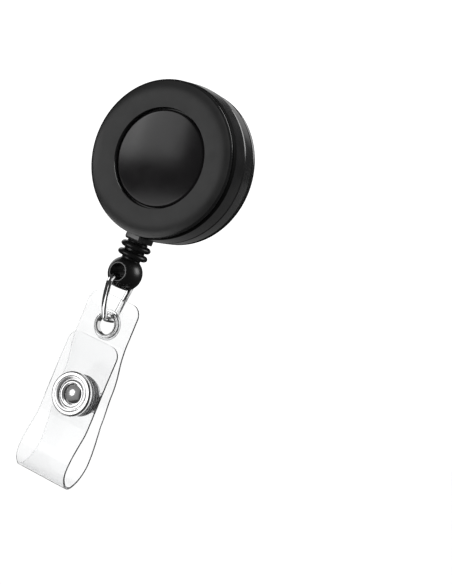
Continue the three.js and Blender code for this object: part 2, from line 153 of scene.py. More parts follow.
class Nodes:
    """A new material's node tree, with short ways to add and join nodes."""

    def __init__(self, name):
        self.material = bpy.data.materials.new(name)
        self.material.use_nodes = True
        self.tree = self.material.node_tree
        self.shader = self.tree.nodes["Principled BSDF"]
        self.place = self.add("ShaderNodeTexCoord").outputs["Object"]

    def add(self, kind, **values):
        node = self.tree.nodes.new(kind)
        for key, value in values.items():
            setattr(node, key, value)
        return node

    def join(self, source, target):
        self.tree.links.new(source, target)

    def put(self, **values):
        for key, value in values.items():
            self.shader.inputs[key.replace("_", " ")].default_value = value

    def noise(self, size_mm, detail=2.0, stretch=(1, 1, 1)):
        """Noise whose cells are about size_mm across, drawn out along an axis where stretch is below 1."""
        mapping = self.add("ShaderNodeMapping")
        mapping.inputs["Scale"].default_value = stretch
        self.join(self.place, mapping.inputs["Vector"])
        noise = self.add("ShaderNodeTexNoise")
        noise.inputs["Scale"].default_value = 1 / (size_mm * MM)
        noise.inputs["Detail"].default_value = detail
        self.join(mapping.outputs["Vector"], noise.inputs["Vector"])
        return noise.outputs["Fac"]

    def ramp(self, source, low=0.0, high=1.0, ends=NOISE_MIDDLE):
        """Maps what lies between the ends, which is the middle of a noise, to a range of values."""
        node = self.add("ShaderNodeMapRange")
        for key, value in zip(("From Min", "From Max", "To Min", "To Max"), (*ends, low, high)):
            node.inputs[key].default_value = value
        self.join(source, node.inputs["Value"])
        return node.outputs["Result"]

    def tint(self, source, dark, light):
        node = self.add("ShaderNodeMix", data_type="RGBA")
        node.inputs["A"].default_value = (*dark, 1)
        node.inputs["B"].default_value = (*light, 1)
        self.join(source, node.inputs["Factor"])
        self.join(node.outputs["Result"], self.shader.inputs["Base Color"])

    def bump(self, *layers):
        """Bump layers of (height source, depth in mm)."""
        below = None
        for source, depth_mm in layers:
            node = self.add("ShaderNodeBump")
            node.inputs["Distance"].default_value = depth_mm * MM
            self.join(source, node.inputs["Height"])
            if below:
                self.join(below, node.inputs["Normal"])
            below = node.outputs["Normal"]
        self.join(below, self.shader.inputs["Normal"])


def procedural(name, colour, gloss, *bumps, **values):
    """A procedural finish from noises, each given as (size in mm, detail): colour is (noise, dark, light),
    gloss is (noise, lowest and highest roughness) and each bump is (noise, depth in mm)."""
    m = Nodes(name)
    m.tint(m.ramp(m.noise(*colour[0])), *colour[1:])
    m.put(**values)
    m.join(m.ramp(m.noise(*gloss[0]), *gloss[1:]), m.shader.inputs["Roughness"])
    m.bump(*[(m.noise(*noise), depth) for noise, depth in bumps])
    return m.material


def moulded_plastic(name, dark, light, roughness, specular=0.3, grain=0.12, grain_depth=0.004, wave=0.02):
    """Moulded plastic: a fine spark-eroded grain, faint cloudy gloss and almost no colour change."""
    return procedural(name, ((4.0, 3.0), dark, light), ((2.2, 4.0), roughness - 0.03, roughness + 0.03),
                      ((6.0, 1.0), wave), ((grain, 2.0), grain_depth), Specular_IOR_Level=specular)


def gloss_label():
    return procedural("label_gloss", ((5.0, 2.0), (0.0034, 0.0031, 0.0034), (0.0048, 0.0044, 0.0048)),
                      ((3.0, 5.0), 0.14, 0.18), ((3.5, 1.0), 0.003), Specular_IOR_Level=0.3)


def bright_chrome(name, roughness=0.09, shade=0.86):
    """Plated metal: small ripples from the stamped brass under it and a light haze."""
    return procedural(name, ((1.8, 3.0), (shade - 0.07,) * 3, (shade, shade, shade + 0.005)),
                      ((0.9, 5.0), roughness - 0.03, roughness + 0.05),
                      ((1.6, 2.0), 0.006), ((0.15, 2.0), 0.0006), Metallic=1.0)


def brushed_nickel():
    """Tumbled nickel plate with the drawing lines of the strip running along Z."""
    lines = (0.16, 3.0, (1, 1, 0.03))
    return procedural("brushed_nickel", ((2.5, 3.0), (0.66, 0.66, 0.665), (0.8, 0.8, 0.805)),
                      (lines, 0.24, 0.36), ((3.0, 2.0), 0.01), (lines, 0.0012), Metallic=1.0)


def spring_steel(name, shade):
    """Burnished steel, darker in streaks."""
    return procedural(name, ((0.6, 4.0), (shade * 0.8, shade * 0.8, shade * 0.84), (shade,) * 3),
                      ((0.3, 3.0), 0.24, 0.38), ((0.1, 2.0), 0.001), Metallic=1.0)


def clear_vinyl():
    """Clear soft vinyl: wavy from pressing, faintly hazy, and greyer where it is seen at a slant."""
    m = Nodes("clear_vinyl")
    slant = m.add("ShaderNodeLayerWeight")
    slant.inputs["Blend"].default_value = 0.5
    m.tint(m.ramp(slant.outputs["Facing"], ends=(0.1, 0.7)), (0.98, 0.983, 0.985), (0.74, 0.745, 0.75))
    m.put(Transmission_Weight=1.0, IOR=1.46)
    m.join(m.ramp(m.noise(1.2, 4.0), 0.03, 0.08), m.shader.inputs["Roughness"])
    m.bump((m.noise(5.0, 1.0), 0.05), (m.noise(0.4, 2.0), 0.0008))
    return m.material


def cut_vinyl():
    """The strap's cut edge: frosted by the knife, and tinted grey as painted shade that outlines the clear
    sheet.
    """
    return procedural("cut_vinyl", ((1.5, 3.0), (0.5, 0.505, 0.51), (0.66, 0.665, 0.67)),
                      ((0.3, 3.0), 0.3, 0.5), ((0.12, 2.0), 0.001), Transmission_Weight=1.0, IOR=1.42)


def braided_cord():
    """Black nylon: two sets of slanting strands that cross, and a dusty sheen."""
    m = Nodes("braided_cord")
    m.tint(m.ramp(m.noise(0.25, 3.0)), (0.008, 0.008, 0.009), (0.022, 0.022, 0.024))
    m.put(Sheen_Weight=0.25, Roughness=0.62)
    heights = []
    for slant in (-1, 1):
        wave = m.add("ShaderNodeTexWave", wave_type="BANDS", bands_direction="DIAGONAL")
        wave.inputs["Scale"].default_value = 1100.0
        wave.inputs["Distortion"].default_value = 0.6
        mapping = m.add("ShaderNodeMapping")
        mapping.inputs["Scale"].default_value = (slant, slant, 1)
        m.join(m.place, mapping.inputs["Vector"])
        m.join(mapping.outputs["Vector"], wave.inputs["Vector"])
        heights.append((wave.outputs["Fac"], 0.03))
    m.bump(*heights)
    return m.material


MATERIALS = {
    "case": moulded_plastic("case_satin", (0.0062, 0.0062, 0.0063), (0.0078, 0.0078, 0.0079), 0.36, 0.31),
    "wall": moulded_plastic("wall_gloss", (0.003, 0.003, 0.0031), (0.0045, 0.0045, 0.0046), 0.2, 0.3, 0.5,
                            0.0002, 0.004),
    # Near-black, dull plastic painted into the groove behind the rim as painted shade.
    "groove": moulded_plastic("groove_painted_shade", (0.0006, 0.0006, 0.0006), (0.001, 0.001, 0.001), 0.6, 0.03),
    # Pale grey painted on the bead's lip as a painted highlight.
    "lip": moulded_plastic("bead_lip_painted_highlight", (0.09, 0.09, 0.091), (0.13, 0.13, 0.131), 0.4),
    "cap": bright_chrome("cap_chrome", 0.16, 0.84),
    # A darker copy of the chrome for the socket and stud behind the flap, as painted shade.
    "snap": bright_chrome("snap_chrome_painted_shade", 0.22, 0.42),
    "guide": moulded_plastic("guide_gloss", (0.01, 0.01, 0.0102), (0.014, 0.014, 0.0142), 0.3, 0.55, 0.3,
                             0.002),
    "bead": moulded_plastic("bead_gloss", (0.003, 0.003, 0.0031), (0.0045, 0.0045, 0.0046), 0.33, 0.3, 0.4,
                            0.0003, 0.004),
    "plate": moulded_plastic("plate_satin", (0.006, 0.006, 0.0061), (0.008, 0.008, 0.0081), 0.36),
    "label": gloss_label(),
    "nylon": moulded_plastic("natural_nylon", (0.62, 0.61, 0.56), (0.72, 0.71, 0.67), 0.5, specular=0.5),
    "chrome": bright_chrome("bright_chrome"),
    "wire": bright_chrome("wire_chrome", 0.1, 0.86),
    # Near-black steel painted where shade falls: on the ring inside the bead and in the snap's grooves.
    "steel_painted_shade": spring_steel("steel_painted_shade", 0.1),
    "nickel": brushed_nickel(),
    "spring": spring_steel("power_spring_steel", 0.42),
    "clip_wire": spring_steel("clip_spring_steel", 0.55),
    "vinyl": clear_vinyl(),
    "cut": cut_vinyl(),
    "cord": braided_cord(),
}


# Each softbox falls on one group of pieces, as a photographer lights a product with cards and flags.
LIT = {name: bpy.data.collections.new("lit_" + name)
       for name in ("case", "label", "rear", "bead", "metal", "clip", "wire", "vinyl")}
GROUP_OF_SLOT = {"chrome_trim": "metal", "clip_nickel": "clip", "spring_steel": "clip",
                 "bead_plastic": "bead", "cord_nylon": "bead", "clear_vinyl": "vinyl"}
GROUP_OF_NODE = {"wire_ring": "wire", "cord_guide": "bead", "label_disc": "label"}
REAR_NODES = {"rear_shell", "swivel_plate"}


# ---- Mesh helpers ----
def piece(name, verts, faces, material, sharp=38.0):
    """A mesh object from millimetre points about the centre of the case."""
    mesh = bpy.data.meshes.new(name)
    mesh.from_pydata([at(*v) for v in verts], [], faces)
    mesh.update()
    obj = add_object(name, mesh)
    obj.data.materials.append(MATERIALS[material])
    tidy(obj, sharp)
    return obj


def tidy(obj, sharp=38.0):
    """Merges doubles, turns faces out and smooths all but the sharp edges."""
    bm = bmesh.new()
    bm.from_mesh(obj.data)
    bmesh.ops.remove_doubles(bm, verts=bm.verts, dist=1e-7)
    bmesh.ops.dissolve_degenerate(bm, edges=bm.edges, dist=1e-8)
    bmesh.ops.recalc_face_normals(bm, faces=bm.faces)
    bm.to_mesh(obj.data)
    bm.free()
    obj.data.shade_smooth()
    obj.data.set_sharp_from_angle(angle=radians(sharp))


def apply_modifiers(obj):
    graph = bpy.context.evaluated_depsgraph_get()
    mesh = bpy.data.meshes.new_from_object(obj.evaluated_get(graph))
    old = obj.data
    obj.modifiers.clear()
    obj.data = mesh
    bpy.data.meshes.remove(old)


def boolean(obj, others, operation="DIFFERENCE"):
    for other in others:
        modifier = obj.modifiers.new("boolean", "BOOLEAN")
        modifier.operation = operation
        modifier.solver = "EXACT"
        modifier.object = other
    bpy.context.view_layer.update()
    apply_modifiers(obj)
    for other in others:
        bpy.data.objects.remove(other)


def bevel(obj, width_mm, segments=3, angle=40.0):
    modifier = obj.modifiers.new("bevel", "BEVEL")
    modifier.width = width_mm * MM
    modifier.segments = segments
    modifier.limit_method = "ANGLE"
    modifier.angle_limit = radians(angle)
    apply_modifiers(obj)
    tidy(obj)


def circle(count):
    """Angles evenly spaced round a circle."""
    return [2 * pi * i / count for i in range(count)]


def fillet(points, radius, steps):
    """Rounds the corners of an open line of 2-D points. radius is one value, or one for each point."""
    radii = radius if isinstance(radius, list) else [radius] * len(points)
    line = [Vector(points[0])]
    for before, corner, after, r in zip(points, points[1:], points[2:], radii[1:]):
        corner = Vector(corner)
        back = Vector(before) - corner
        ahead = Vector(after) - corner
        turn = pi - back.angle(ahead)
        if r <= 0 or turn < 0.02:
            line.append(corner)
            continue
        reach = min(r * tan(turn / 2), back.length * 0.48, ahead.length * 0.48)
        start = corner + back.normalized() * reach
        end = corner + ahead.normalized() * reach
        for i in range(steps + 1):
            t = i / steps
            line.append(start * (1 - t) ** 2 + corner * 2 * t * (1 - t) + end * t * t)
    line.append(Vector(points[-1]))
    return line


def rounded(outline, radius, steps):
    """A closed outline with all its corners rounded."""
    return fillet(outline + outline[:2], radius, steps)[1:-1]


def loft(name, rings, material, sharp=38.0, loops=True, closed=False):
    """Skins a row of rings of points, with flat ends unless the row is closed on itself. The rings are closed
    unless loops is false."""
    size, count = len(rings[0]), len(rings)
    faces = []
    for i in range(count if closed else count - 1):
        a, b = i * size, (i + 1) % count * size
        for k in range(size if loops else size - 1):
            n = (k + 1) % size
            faces.append((a + k, a + n, b + n, b + k))
    if not closed:
        faces += [tuple(range(size)), tuple(range((count - 1) * size, count * size))]
    return piece(name, [tuple(v) for ring in rings for v in ring], faces, material, sharp)


def turned(name, profile, material, centre=(0, 0), segments=96, axis="Y", closed=False, sharp=38.0):
    """A solid of revolution. The profile is (radius, position along the axis) and either ends on the axis or
    closes on itself. centre is (x, z) for axis Y, or (x, y) for axis Z."""
    rings = []
    for i in range(segments):
        angle = 2 * pi * i / segments
        ring = [(centre[0] + r * cos(angle), p, centre[1] + r * sin(angle)) for r, p in profile]
        rings.append(ring if axis == "Y" else [(x, z, y) for x, y, z in ring])
    return loft(name, rings, material, sharp, closed, True)


def tube(name, points, radius, material, sides=16, closed=False):
    """A round wire along points, with flat ends or closed on itself."""
    points = [Vector(p) for p in points]
    count = len(points)
    tangents = []
    for i in range(count):
        before = points[i - 1] if closed or i else points[0]
        after = points[(i + 1) % count] if closed or i < count - 1 else points[-1]
        tangents.append((after - before).normalized())
    normal = tangents[0].orthogonal().normalized()
    rings = []
    for i, point in enumerate(points):
        if i:
            normal = tangents[i - 1].rotation_difference(tangents[i]) @ normal
        normal = (normal - tangents[i] * normal.dot(tangents[i])).normalized()
        side = tangents[i].cross(normal)
        rings.append([point + (normal * cos(a) + side * sin(a)) * radius for a in circle(sides)])
    return loft(name, rings, material, 50.0, closed=closed)


def smooth_line(points, per_span):
    """A Catmull-Rom curve through the points."""
    pts = [Vector(p) for p in points]
    count = len(pts)
    line = []
    for i in range(count - 1):
        p1, p2 = pts[i], pts[i + 1]
        p0 = pts[i - 1] if i else p1 * 2 - p2
        p3 = pts[i + 2] if i < count - 2 else p2 * 2 - p1
        for k in range(per_span):
            t = k / per_span
            line.append(((p1 * 2) + (p2 - p0) * t + (p0 * 2 - p1 * 5 + p2 * 4 - p3) * t * t
                         + (p1 * 3 - p0 - p2 * 3 + p3) * t ** 3) / 2)
    line.append(pts[-1])
    return line


def cylinder(radius, start, end, segments=48):
    """A throwaway cutter between two points."""
    a, b = Vector(start), Vector(end)
    along = (b - a).normalized()
    side = along.orthogonal().normalized()
    other = along.cross(side)
    ring = [(side * cos(t) + other * sin(t)) * radius for t in circle(segments)]
    return loft("cutter", [[a + v for v in ring], [b + v for v in ring]], "case")


def block(name, low, high):
    xs, ys, zs = zip(low, high)
    verts = [(x, y, z) for x in xs for y in ys for z in zs]
    faces = [(0, 1, 3, 2), (4, 6, 7, 5), (0, 4, 5, 1), (2, 3, 7, 6), (0, 2, 6, 4), (1, 5, 7, 3)]
    return piece(name, verts, faces, "case")


def paint(obj, material, centre, wanted):
    """Gives another material to the faces for which wanted(place from the centre in mm, face) holds."""
    obj.data.materials.append(MATERIALS[material])
    index = len(obj.data.materials) - 1
    for face in obj.data.polygons:
        if wanted((face.center - centre) / MM, face):
            face.material_index = index


def finish_piece(obj, slot, *nodes):
    """Hides the CAD nodes that a piece stands for and says which lights fall on it, chosen by its slot or its
    first node.
    """
    if nodes:
        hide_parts(*nodes)
    group = GROUP_OF_NODE.get(nodes[0]) if nodes else None
    LIT[group or GROUP_OF_SLOT.get(slot, "case")].objects.link(obj)
    if REAR_NODES & set(nodes):
        LIT["rear"].objects.link(obj)


def dress(obj, body, slot, *nodes):
    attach(obj, body)
    finish_piece(obj, slot, *nodes)


# ---- Case ----
SEAM_GAP = 0.05
RECESS_R = LABEL_R + 0.36
RECESS_FLOOR = FACE - 1.25
SHELL_INSIDE = FACE - 2.25
SHELL_WALL_R = SEAM_R - 1.1
SHELL_SEGMENTS = 160
LAND_FLAT_R = max(RECESS_R, PLATE_GROOVE_R) + 0.3  # the face is flat to here, then falls away to its rim
LAND_END = (RIM_R - 0.05, 0.62)  # radius and drop where the rim's rounding starts


def half_shell(side, inner_edge):
    """Outside of one half from the flat of its face to the seam, as (radius, y). side is -1 in front."""
    end_r, drop = LAND_END
    land = [(LAND_FLAT_R + (end_r - LAND_FLAT_R) * t, FACE - drop * t ** 3)
            for t in (i / 14 for i in range(15))]
    rim = fillet([land[-1], (RIM_R + 0.16, FACE - drop - 0.12), (RIM_R + 0.1, FACE - drop - 0.3),
                  (RIM_R - 0.3, FACE - 1.36)], [0, 0.12, 0.1, 0], 5)
    band = fillet([rim[-1], (RIM_R - 0.28, FACE - 1.42), (RIM_R + 0.14, FACE - 1.46),
                   (RIM_R + 0.26, FACE - 2.3), (SEAM_R - 0.02, 0.25), (SEAM_R - 0.16, SEAM_GAP)],
                  [0, 0.03, 0.34, 0.1, 0.05, 0], 6)
    lip = fillet([(inner_edge, FACE - 0.6), (inner_edge, FACE - 0.12), (inner_edge + 0.07, FACE), land[0]],
                 [0, 0.06, 0.08, 0], 3)
    return [(r, side * y) for r, y in lip[:-1] + land[:-1] + rim[:-1] + band]


GROOVE_SHADE = (LAND_END[1] + 0.3, 2.1)  # depths under the face between which the groove is painted near-black as shade
RECESS_DEPTH = 0.8  # a face deeper than this lies inside a recess


def gloss_the_wall(obj):
    """The face has the satin grain, the barrel wall and the inside are polished, and the groove is painted
    near-black and dull as painted shade.
    """

    def outside(place):
        return hypot(place.x, place.z) > LAND_END[0] and FACE - abs(place.y) > LAND_END[1]

    def in_wall(place, face):
        return outside(place) or abs(face.normal.y) < 0.9 or FACE - abs(place.y) > RECESS_DEPTH

    paint(obj, "wall", CENTRE, in_wall)
    paint(obj, "groove", CENTRE, lambda p, face: outside(p) and GROOVE_SHADE[0] < FACE - abs(p.y) < GROOVE_SHADE[1])


GUIDE_HALF = 1.7


def guide_notch():
    gap, outwards, inwards = 0.08, 2, 3.6
    low = (-GUIDE_HALF - gap, GUIDE_LOW.y - gap, GUIDE_LOW.z - outwards)
    return block("cutter", low, (GUIDE_HALF + gap, GUIDE_HIGH.y + gap, GUIDE_LOW.z + inwards))


def finish_shell(obj, node):
    boolean(obj, [guide_notch()])
    tidy(obj)
    gloss_the_wall(obj)
    dress(obj, "case", "case_plastic", node)


def front_cover():
    wall, inside, floor = SHELL_WALL_R, -SHELL_INSIDE, -RECESS_FLOOR
    post, post_end = 2.4, 2.15
    corner = [(RECESS_R - 0.2, floor), (RECESS_R, floor), (RECESS_R, floor - 0.3)]
    profile = [(0, floor), (RECESS_R - 0.15, floor)] + fillet(corner, 0.12, 3)[1:-1]
    profile += half_shell(-1, RECESS_R)
    profile += [(wall, -SEAM_GAP), (wall - 0.3, inside + 0.6), (wall - 0.9, inside), (post + 0.2, inside),
                (post, inside + 0.2), (post, post_end - 0.15), (post - 0.15, post_end), (0, post_end)]
    obj = turned("front_cover_shell", profile, "case", segments=SHELL_SEGMENTS)
    finish_shell(obj, "front_cover")


def rear_shell():
    wall, inside, floor, groove, bore = SHELL_WALL_R, SHELL_INSIDE, RECESS_FLOOR, PLATE_GROOVE_R, 1.5
    corner = [(groove - 0.15, floor), (groove, floor), (groove, floor + 0.3)]
    profile = [(bore, floor), (groove - 0.1, floor)] + fillet(corner, 0.1, 3)[1:-1]
    profile += half_shell(1, groove)
    profile += [(wall, SEAM_GAP), (wall - 0.3, inside - 0.6), (wall - 0.9, inside), (bore, inside)]
    obj = turned("rear_shell_body", profile, "case", segments=SHELL_SEGMENTS, closed=True)
    finish_shell(obj, "rear_shell")


def label_disc():
    back, crown, radius = LABEL_BACK, -FACE + 0.02, LABEL_R + 0.05
    rim_y = back - 0.22
    dome = [(u * (radius - 0.35), crown + (rim_y - 0.22 - crown) * u * u)
            for u in (1 - i / 24 for i in range(25))]
    edge = fillet([(radius - 0.1, back), (radius, back - 0.08), (radius, rim_y), dome[0], dome[1]],
                  [0, 0.05, 0.2, 0.4, 0], 6)
    obj = turned("label_dome", [(0, back)] + edge[:-1] + dome[1:], "label", segments=SHELL_SEGMENTS)
    dress(obj, "case", "label_gloss", "label_disc")


def cord_guide():
    low, high = GUIDE_LOW, GUIDE_HIGH
    bore, chamfer, past = 0.75, 0.5, 0.1
    obj = block("cord_guide_block", (-GUIDE_HALF, low.y, low.z), (GUIDE_HALF, high.y, high.z - 0.4))
    head = block("cutter", (low.x, low.y + 0.55, high.z - 0.7), (high.x, high.y - 0.55, high.z))
    boolean(obj, [head], "UNION")
    boolean(obj, [cylinder(bore, (0, LINE_Y, low.z - 1), (0, LINE_Y, high.z + 1), 32)])
    corner = [(low.y - past, low.z - past), (low.y + chamfer, low.z - past), (low.y - past, low.z + chamfer)]
    verts = [(x, y, z) for x in (-GUIDE_HALF - 1, GUIDE_HALF + 1) for y, z in corner]
    wedge = [(0, 1, 2), (5, 4, 3), (0, 3, 4, 1), (1, 4, 5, 2), (2, 5, 3, 0)]
    boolean(obj, [piece("cutter", verts, wedge, "guide")])
    bevel(obj, 0.16, 4)
    obj.data.materials[0] = MATERIALS["guide"]
    dress(obj, "case", "case_plastic", "cord_guide")


# ---- Spool, spring and cord inside the case ----
def spool():
    half, flange, outer = 1.4, 0.8, SPOOL_HIGH.x
    cup, drum, bore = 9.7, 10.5, 2.7
    window, window_place = 1.6, 6.2
    corners = [(bore, half), (cup, half), (cup, -half - flange), (outer, -half - flange), (outer, -half),
               (drum, -half), (drum, half), (outer, half), (outer, half + flange), (bore, half + flange)]
    obj = turned("cord_spool", rounded(corners, 0.18, 3), "nylon", segments=120, closed=True)
    places = [(window_place * cos(a), window_place * sin(a)) for a in circle(5)]
    boolean(obj, [cylinder(window, (x, 0.5, z), (x, 3, z)) for x, z in places])
    tidy(obj)
    dress(obj, "spool", "spool_nylon", "spool")


def power_spring():
    """A flat band wound in a spiral, drawn as its two faces and two edges."""
    turns, per_turn, inner, outer = 9, 40, 2.75, 9.35
    low, high, half = -1.85, 1.05, 0.09
    count = turns * per_turn + 1
    rings = []
    for i in range(count):
        a = 2 * pi * i / per_turn
        r = inner + (outer - inner) * i / (count - 1)
        section = ((r - half, low), (r + half, low), (r + half, high), (r - half, high))
        rings.append([(place * cos(a), y, place * sin(a)) for place, y in section])
    obj = loft("power_spring_band", rings, "spring")
    dress(obj, "case", "spring_steel", "power_spring")


CORD_R = 0.36
CORD_LENGTH = 600.0


def cord_winding():
    """The whole pull length in turns side by side, three to a layer. The last bit of each layer climbs."""
    drum, pitch, per_turn, abreast = 10.9, 0.78, 44, 3
    climb, nesting, squeeze = 0.15, 0.9, 0.92
    points, length, angle = [], 0.0, 0.0
    step = 2 * pi / per_turn
    while length < CORD_LENGTH:
        turn = angle / (2 * pi)
        layer, across = int(turn // abreast), turn % abreast
        shift = (across - abreast / 2) * pitch * (1 if layer % 2 == 0 else -1)
        rise = min(1.0, max(0.0, (across - (abreast - climb)) / climb))
        r = drum + (layer + rise) * pitch * nesting
        points.append((r * cos(angle), shift * squeeze, r * sin(angle)))
        length += r * step
        angle += step
    obj = tube("wound_cord", points, CORD_R, "cord", 8)
    dress(obj, "spool", "cord_nylon", "cord_winding")


def pull_cord():
    """From the spool's edge through the guide to the knot; it draws out between the case and the bead."""
    route = [(-6.9, -11.2), (-3.9, -12.7), (-1.5, -13.8), (-0.5, -14.7), (-0.1, -15.7), (0, -16.8),
             (0, -18.5), (0, -20.4), (0, -22.2)]
    line = smooth_line([(x, LINE_Y, z) for x, z in route], 10)
    obj = tube("pull_cord_run", line, CORD_R, "cord")
    finish_piece(obj, "cord_nylon", "pull_cord")
    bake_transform(obj)


def cord_knot():
    """A small overhand knot, as a trefoil of the same cord pulled tight."""
    size, height, steps, tight_r = 0.19, 0.24, 72, 0.2
    middle = BALL_Z + 0.82
    points = []
    for a in circle(steps):
        points.append((size * (sin(a) + 2 * sin(2 * a)),
                       LINE_Y + size * (cos(a) - 2 * cos(2 * a)),
                       middle - height * sin(3 * a)))
    obj = tube("cord_stopper_knot", points, tight_r, "cord", 10, closed=True)
    dress(obj, "cord_end", "cord_nylon", "cord_knot")


# ---- Bead and ring ----
def strap_bead():
    """A ribbed neck over a ball with a cross hole, in which the cord is knotted."""
    top = GUIDE_LOW.z - 0.04  # the bead stops against the guide
    first, rib_r, neck_r, waist_r, thick, pitch = -17.85, 3.15, 2.15, 1.95, 1.3, 1.75
    nose = thick * 0.62  # how far out the round of a rib goes
    profile = [(0, top), (neck_r - 0.1, top), (neck_r, top - 0.1)]
    for n in range(2):
        upper = first - n * pitch
        centre = upper - thick / 2
        profile.append((neck_r, upper))
        profile += [(rib_r - nose + nose * cos(a), centre + thick / 2 * sin(a))
                    for a in (pi / 2 - pi * i / 16 for i in range(17))]
        profile.append((neck_r, upper - thick))
    lowest = first - pitch - thick
    start = acos(waist_r / BALL_R)
    end = -asin(BALL_CUT / BALL_R)
    ball = [(BALL_R * cos(a), BALL_Z + BALL_R * sin(a))
            for a in (start + (end - start) * i / 36 for i in range(37))]
    waist = fillet([(neck_r, lowest), (waist_r, lowest - 0.1), ball[0], ball[4]], [0, 0.1, 0.25, 0], 4)
    bottom = fillet([ball[-2], ball[-1], (0, ball[-1][1])], [0, 0.18, 0], 4)
    profile += waist[1:-1] + ball[4:-2] + bottom
    obj = turned("ribbed_bead", profile, "bead", (0, LINE_Y), 96, "Z")
    cross = cylinder(BALL_HOLE, (0, LINE_Y - 6, BALL_Z), (0, LINE_Y + 6, BALL_Z), 64)
    neck = cylinder(0.7, (0, LINE_Y, top + 1), (0, LINE_Y, BALL_Z + 1), 32)
    boolean(obj, [cross, neck])
    bevel(obj, 0.05, 2, 42.0)
    lip_r = 0.07
    reach = sqrt(BALL_R ** 2 - BALL_HOLE ** 2) - 0.03
    for side in (-1, 1):  # the moulded lip round each mouth of the cross hole
        mouth = LINE_Y + side * (reach + 0.04)
        lip = [(BALL_HOLE + lip_r * cos(a), mouth + lip_r * sin(a)) for a in circle(12)]
        boolean(obj, [turned("cutter", lip, "bead", (0, BALL_Z), closed=True)], "UNION")
    tidy(obj)
    near = lip_r + 0.01

    def on_lip(place, face):  # the lip is painted pale, a painted highlight round the hole's edge
        round_hole = abs(hypot(place.x, place.z) - BALL_HOLE) < near
        return round_hole and abs(abs(place.y) - reach - 0.04) < near and face.area < (0.2 * MM) ** 2

    paint(obj, "lip", at(0, LINE_Y, BALL_Z), on_lip)
    dress(obj, "bead", "bead_plastic", "strap_bead")


def wire_ring():
    """A bar through the ball and two legs that close at the eyelet. The wire's ends meet in the ball."""
    top, low = RING_HIGH.z - WIRE_R, RING_LOW.z + WIRE_R
    joint = 0.08  # half the gap between the wire's ends
    front = [(LINE_Y - joint, top), (-3.5, top), (-4.75, top - 0.4), (-5.15, top - 1.3), (-4.85, top - 2.7),
             (-4.3, top - 4.5), (-3.4, top - 6.3), (-2.2, top - 7.9), (-1.35, low + 0.15), (-0.6, low)]
    back = [(LINE_Y + joint, top), (2.1, top), (3.3, top - 0.4), (3.7, top - 1.3), (3.45, top - 2.7),
            (3.1, top - 4.5), (2.8, top - 6.3), (2.45, top - 7.7), (1.9, low + 0.15), (1.2, low)]
    route = front + [(EYELET_Y, low)] + back[::-1]
    obj = tube("bent_wire_ring", smooth_line([(0, y, z) for y, z in route], 8), WIRE_R - 0.01, "wire", 24)
    shade_r = BALL_R - 0.35  # painted shade on the wire inside the bead
    # the wire inside the ball is painted dark as shade
    paint(obj, "steel_painted_shade", at(0, LINE_Y, BALL_Z), lambda place, face: place.length < shade_r)
    dress(obj, "ring", "chrome_trim", "wire_ring")


# ---- Strap ----
# Middle of the sheet as (z, y), down the back leg, round the fold and up the flap.
STRAP_ROUTE = [(z, EYELET_Y) for z in (STRAP_HIGH.z, -32.5, -35.5, -38.5)] + [(-41.5, 0.8), (-44.5, 1.75)]
STRAP_ROUTE += [(z, BACK_Y) for z in (-47, -49, -51, -53, -55)]
STRAP_ROUTE += [(-57.3, 2.85), (-59.5, 3.55), (-62, 4), (-64.6, 3.9), (-67, 2.85), (-68.65, 1.2), (-69, 0),
                (-68.6, -1.3), (-67, -2.75), (-65, -3.15), (-62.5, -2.85), (-60, -2.2), (-57.5, -1.5)]
STRAP_ROUTE += [(z, FLAP_Y) for z in (-55.3, -53, -51, -49, -46)]
STRAP_ROUTE += [(-43, FLAP_Y + 0.1), (FLAP_TOP, FLAP_Y + 0.2)]
CORNER_R = 2.3
CORNER_STEPS = 12
SHEET_STEP = 0.3  # spacing of the sheet's rows between its corners
EYELET_HOLE = 2.42
POST_HOLE = 1.1
SOCKET_HOLE = 1.35


def half_width(distance):
    """Half the strap's width at a distance from its end, round at the corners."""
    if distance >= CORNER_R:
        return STRAP_HALF
    inset = CORNER_R - distance
    return STRAP_HALF - CORNER_R + sqrt(max(CORNER_R ** 2 - inset ** 2, 0))


def spaced(line):
    """The same line with points closer together at both ends, where the corners are."""
    lengths = [0.0]
    for a, b in zip(line, line[1:]):
        lengths.append(lengths[-1] + (b - a).length)
    total = lengths[-1]
    wanted = [CORNER_R * (1 - cos(pi / 2 * i / CORNER_STEPS)) for i in range(CORNER_STEPS)]
    middle = int((total - 2 * CORNER_R) / SHEET_STEP)
    wanted += [CORNER_R + (total - 2 * CORNER_R) * i / middle for i in range(middle + 1)]
    wanted += [total - d for d in reversed(wanted[:CORNER_STEPS])]
    places, k = [], 0
    for d in wanted:
        while k < len(lengths) - 2 and lengths[k + 1] < d:
            k += 1
        t = (d - lengths[k]) / max(lengths[k + 1] - lengths[k], 1e-9)
        places.append((d, line[k].lerp(line[k + 1], t)))
    return places, total


def edge_curl(x, point):
    """How far back the edges of the back leg stand beside the snap, where its middle is held flat."""
    flat_half, middle_z, spread, height = 3.0, -54.8, 4.2, 0.75
    side = min(max((abs(x) - flat_half) / (STRAP_HALF - flat_half), 0.0), 1.0)
    along = (point.y - middle_z) / spread
    return height * side * side * (3 - 2 * side) * exp(-along * along)


